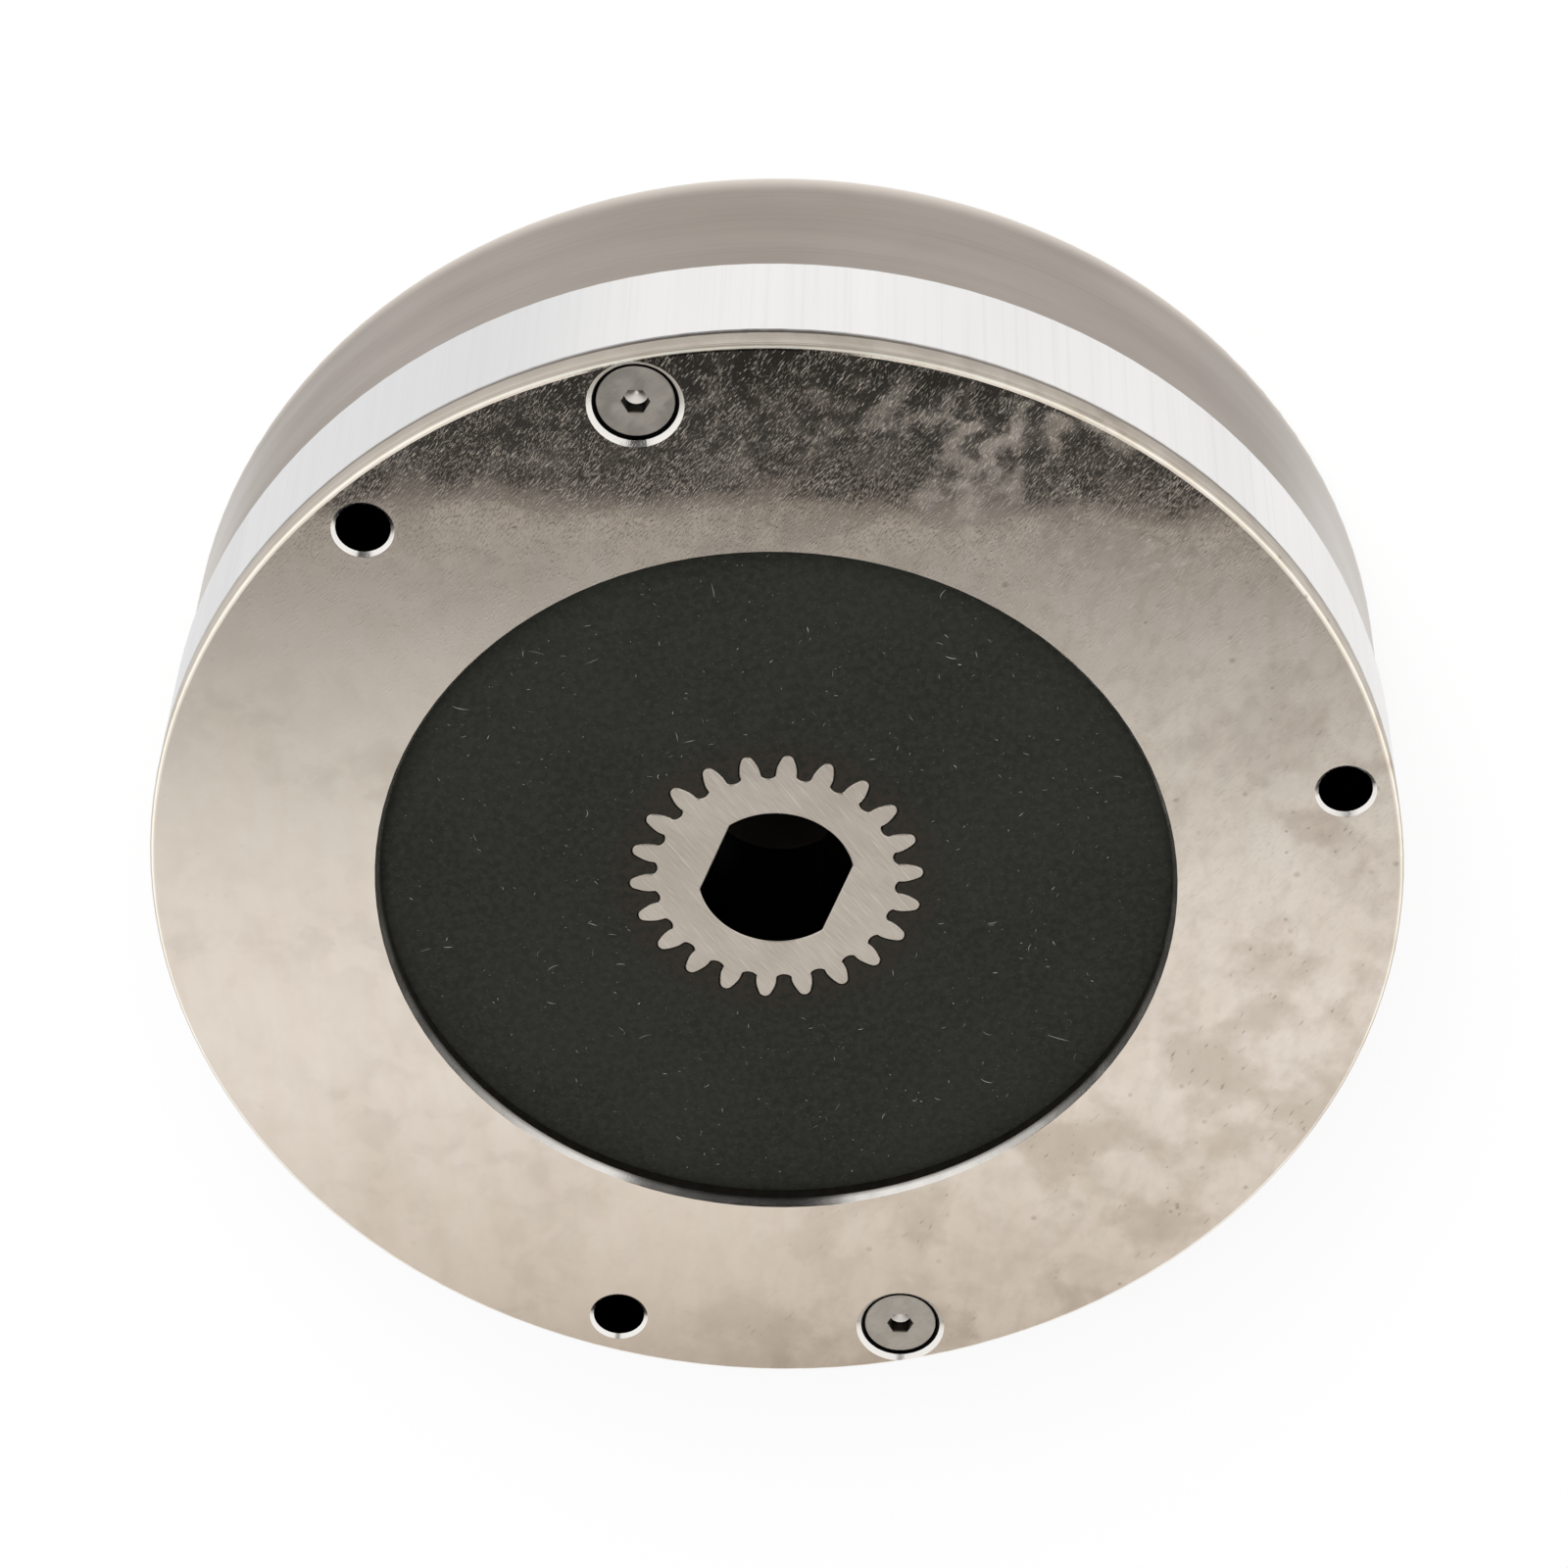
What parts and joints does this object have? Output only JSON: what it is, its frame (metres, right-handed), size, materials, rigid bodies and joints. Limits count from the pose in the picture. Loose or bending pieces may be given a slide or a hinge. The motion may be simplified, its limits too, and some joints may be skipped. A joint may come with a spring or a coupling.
{
  "type": "spring-applied electromagnetic brake",
  "caption": "Round power-off shaft brake: springs clamp a splined friction disc between an armature plate and a front plate until the coil pulls the armature back.",
  "frame": {"origin": "centre of the rear face of the magnet body, the flat face that the brake stands on", "axes": "+Z along the brake's axis, towards the front plate; +X through the first mounting hole, so that the two plate screws lie on +Y and -Y"},
  "size_m": [0.152, 0.152, 0.0445],
  "materials": {
    "body_steel": "turned low-carbon steel, satin, warm grey",
    "plate_steel": "ground steel with a thin nickel coat, faint stains",
    "ring_aluminium": "extruded tube, bright, fine lines along the axis",
    "hub_steel": "machined steel, fine scratches",
    "lining_compound": "moulded friction lining, charcoal with pale fibres",
    "armature_steel": "ground low-carbon steel",
    "screw_steel": "stainless steel",
    "spring_steel": "oiled spring wire",
    "pin_steel": "hardened and ground",
    "bobbin_plastic": "moulded nylon",
    "copper_wire": "enamelled copper wire",
    "resin": "cast resin",
    "grommet_rubber": "moulded rubber"
  },
  "bodies": {
    "housing": {"magnet_body": "body_steel", "coil_bobbin": "bobbin_plastic", "coil_winding": "copper_wire", "coil_potting": "resin", "spring_1": "spring_steel", "spring_2": "spring_steel", "spring_3": "spring_steel", "spring_4": "spring_steel", "spring_5": "spring_steel", "spring_6": "spring_steel", "guide_pin_1": "pin_steel", "guide_pin_2": "pin_steel", "guide_pin_3": "pin_steel", "spacer_ring": "ring_aluminium", "front_plate": "plate_steel", "plate_screws": "screw_steel", "lead_grommet": "grommet_rubber"},
    "hub": {"splined_hub": "hub_steel"},
    "disc": {"friction_disc": "lining_compound"},
    "armature": {"armature_plate": "armature_steel"}
  },
  "joints": [
    {"name": "hub_spin", "type": "hinge", "parent": "housing", "child": "hub", "pos_m": [0, 0, 0.0313], "axis": [0, 0, 1], "continuous": true},
    {"name": "armature_slide", "type": "slide", "parent": "housing", "child": "armature", "axis": [0, 0, -1], "range_m": [0, 0.0004], "stiffness_N_per_m": 4000, "springref_m": -0.005, "deforming": ["spring_1", "spring_2", "spring_3", "spring_4", "spring_5", "spring_6"]},
    {"name": "disc_slide", "type": "slide", "parent": "hub", "child": "disc", "axis": [0, 0, -1], "range_m": [0, 0.0002]}
  ],
  "couplings": [
    {"joint": "disc_slide", "follows": "armature_slide", "ratio": 0.5}
  ]
}
